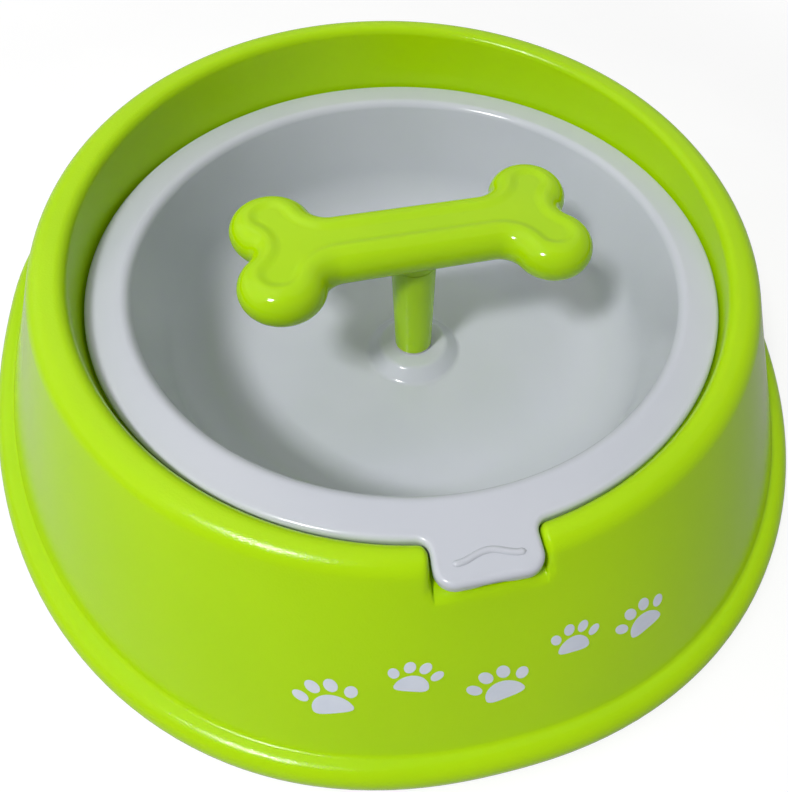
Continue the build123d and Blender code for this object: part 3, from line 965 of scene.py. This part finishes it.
# Dish in the bone's top, as insets from the outline and how far each is sunk, and the flat of its underside
DISH = ((10.0, 0.80), (9.7, 0.80), (9.4, 0.79), (8.8, 0.70),
        (8.2, 0.54), (7.6, 0.33), (7.0, 0.15), (6.3, 0.03))
UNDERSIDE = (8.4, 9.6)

# Boss under the bone's middle, as reaches from the axis and heights, and points round it
BOSS = ((4.1, 51.5), (7.1, 51.5), (7.35, 51.6), (7.45, 51.85), (7.45, 53.3), (7.55, 53.9), (7.9, 54.4),
        (8.6, 54.75), (8.6, 57.0), (4.1, 57.0))
BOSS_COLUMNS = 64


def bone_outline():
    """The bone's outline, worked out for a quarter and mirrored: places and outward directions."""
    neck_y = BAR + NECK
    neck_x = LOBE_X - ((LOBE + NECK) ** 2 - (neck_y - LOBE_Y) ** 2) ** 0.5
    notch_x = LOBE_X + ((LOBE + NOTCH) ** 2 - LOBE_Y ** 2) ** 0.5
    lobe_start = np.degrees(np.arctan2(-LOBE_Y, notch_x - LOBE_X))
    lobe_end = np.degrees(np.arctan2(neck_y - LOBE_Y, neck_x - LOBE_X))
    notch = hollow_arc_points(notch_x, 0.0, NOTCH, 180, 180 + lobe_start, 9)
    quarter = [(x, abs(y), out_x, -abs(out_y)) for x, y, out_x, out_y in notch]
    quarter += arc_points(LOBE_X, LOBE_Y, LOBE, lobe_start, lobe_end, 36)[1:]
    quarter += hollow_arc_points(neck_x, neck_y, NECK, lobe_end - 180, -90, 12)[1:]
    quarter += [(x, BAR, 0.0, 1.0) for x in np.linspace(neck_x, 0.0, 18)[1:]]
    quarter = np.array(quarter)
    half = np.concatenate([quarter, quarter[-2::-1] * (-1, 1, -1, 1)])
    return np.concatenate([half, half[-2:0:-1] * (1, -1, 1, -1)])


def bone_points():
    """Rings of the bone from the middle of its top, over its round edge, to the middle of its underside."""
    outline = bone_outline()
    turn = radians(BONE_TURN)
    half = BONE_THICK / 2
    rings = [(inset, half - sunk) for inset, sunk in DISH]
    rings += [(half * (1 - cos(angle)), half * sin(angle)) for angle in np.radians(np.linspace(76, -90, 18))]
    rings += [(inset, -half) for inset in UNDERSIDE]
    made = []
    for inset, rise in rings:
        plan = outline[:, :2] - outline[:, 2:] * inset
        on_bar = 1 - smooth_step(np.abs(plan[:, 0]), *SINK_ENDS)
        lower_top = 1 - BAR_SINK * on_bar * (rise > 0)
        made.append(np.stack([*turned(*plan.T, turn), BONE_FOOT + half + rise * lower_top], -1))
    return np.array(made)


def lobed_cap(inset):
    """Faces that close a ring of the bone: four lobes, the triangles between them and the bar."""
    outline = bone_outline()
    x = outline[:, 0] - outline[:, 2] * inset
    columns = len(x)
    half = columns // 2
    root = int(np.argmax(x[:half] < x[0] - 0.5))
    faces = []
    for way, start in ((1, 0), (-1, 0), (-1, half), (1, half)):
        for index in range(root // 2):
            steps = (index, index + 1, root - index - 1, root - index)
            faces.append(tuple(dict.fromkeys((start + way * step) % columns for step in steps)))
    faces.append((0, root, columns - root))
    faces.append((half, half - root, half + root))
    for index in range(root, half - root):
        faces.append((index, index + 1, columns - index - 1, columns - index))
    return faces


def boss_shape(shape):
    """The short boss under the bone's middle, with the hole for the post."""
    turns = np.linspace(0, 2 * pi, BOSS_COLUMNS, endpoint=False)
    rings = [new_ring(shape, [(reach * cos(turn), reach * sin(turn), level) for turn in turns])
             for reach, level in BOSS]
    for first, second in zip(rings, rings[1:] + rings[:1]):
        join_rings(shape, first, second)


def bone_object():
    """The bone, with a dished top and a short boss under its middle."""
    points = bone_points()
    rows, columns = points.shape[:2]
    faces = grid_faces(rows, columns, close_rows=False)
    for row, inset in ((0, DISH[0][0]), (rows - 1, UNDERSIDE[-1])):
        faces += [tuple(row * columns + index for index in face) for face in lobed_cap(inset)]
    piece = mesh_object("bone_body", points.reshape(-1, 3), faces, polished_lime, sharp=50.0)
    add_shapes(piece, boss_shape)
    return piece


bone = bone_object()
even_shading(bone)
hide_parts("bone_bar")
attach(bone, "bone")


# Floor, lights and camera
FLOOR_REACH = 6.0
FLOOR_GREY = ((0.34,) * 3, (0.38,) * 3)


def stage_floor():
    """A floor that shows white but for shadows and painted shade on the ground under the stand, and is clear
    from below.
    """
    corners = [(x * FLOOR_REACH, y * FLOOR_REACH, 0) for x, y in ((-1, -1), (1, -1), (1, 1), (-1, 1))]
    mesh = bpy.data.meshes.new("floor")
    mesh.from_pydata(corners, [], [(0, 1, 2, 3)])
    material, tree, shader = new_material("floor_look")
    grain = noise(tree, scale=6.0, detail=4.0)
    tree.links.new(tint(tree, grain, 0.1, 0.9, FLOOR_GREY), shader.inputs["Base Color"])
    tree.links.new(spread(tree, grain, 0.0, 1.0, 0.55, 0.65), shader.inputs["Roughness"])
    place = tree.nodes.new("ShaderNodeNewGeometry")
    length = tree.nodes.new("ShaderNodeVectorMath")
    length.operation = "LENGTH"
    tree.links.new(place.outputs["Position"], length.inputs[0])
    distance = length.outputs["Value"]
    around = spread(tree, distance, 0.25, 0.9, 0.68, 1.0)
    # Painted shade: the floor's white glow is cut to a fifth under the stand, so the ground seen through the
    # opening looks shaded
    painted_shade_under_stand = spread(tree, distance, 0.125, 0.143, 0.2, 1.0)
    white = maths(tree, "MULTIPLY", around, painted_shade_under_stand)
    shader.inputs["Emission Color"].default_value = (*WHITE, 1.0)
    tree.links.new(maths(tree, "MULTIPLY", shown_white(tree), white), shader.inputs["Emission Strength"])
    clear = tree.nodes.new("ShaderNodeBsdfTransparent")
    mix = tree.nodes.new("ShaderNodeMixShader")
    from_below = maths(tree, "MULTIPLY", place.outputs["Backfacing"], shown_white(tree))
    tree.links.new(from_below, mix.inputs["Fac"])
    tree.links.new(shader.outputs["BSDF"], mix.inputs[1])
    tree.links.new(clear.outputs["BSDF"], mix.inputs[2])
    tree.links.new(mix.outputs["Shader"], tree.nodes["Material Output"].inputs["Surface"])
    mesh.materials.append(material)
    floor = new_object("floor", mesh)


def area_light(name, place, size, power, aim=(0, 0, 0.03)):
    """A square soft lamp pointed at the object."""
    lamp = bpy.data.lights.new(name, "AREA")
    lamp.size = size
    lamp.energy = power
    light = new_object(name, lamp)
    light.location = place
    light.rotation_euler = (Vector(place) - Vector(aim)).to_track_quat("Z", "Y").to_euler()


def make_world(level):
    """An even surround: white to the camera, partly white where it is mirrored, and dim as light."""
    world = bpy.data.worlds.new("studio")
    bpy.context.scene.world = world
    world.use_nodes = True
    tree = world.node_tree
    background = tree.nodes["Background"]
    background.inputs["Color"].default_value = (*WHITE, 1.0)
    tree.links.new(maths(tree, "MULTIPLY_ADD", shown_white(tree), 1.0 - level, level),
                   background.inputs["Strength"])


def place_camera():
    """The camera that took the photograph, solved from the stand's outlines in it."""
    camera = new_object("camera", bpy.data.cameras.new("camera"))
    camera.location = (-0.02888, -0.17670, 0.21097)
    camera.rotation_euler = (radians(38.05489), radians(-4.06470), radians(-12.73802))
    camera.data.sensor_fit = "HORIZONTAL"
    camera.data.sensor_width = 36.0
    camera.data.lens = 31.98
    camera.data.shift_x = -0.1007
    camera.data.shift_y = -0.0398
    camera.data.clip_start = 0.01
    bpy.context.scene.camera = camera


stage_floor()
make_world(level=0.21)
area_light("key", (-0.42, -0.38, 0.80), size=0.14, power=5.1)
area_light("left", (-0.80, 0.10, 1.05), size=1.6, power=4.4)
area_light("top", (0.08, 0.40, 1.10), size=1.6, power=2.5)
place_camera()
bpy.context.scene.view_settings.view_transform = "Standard"
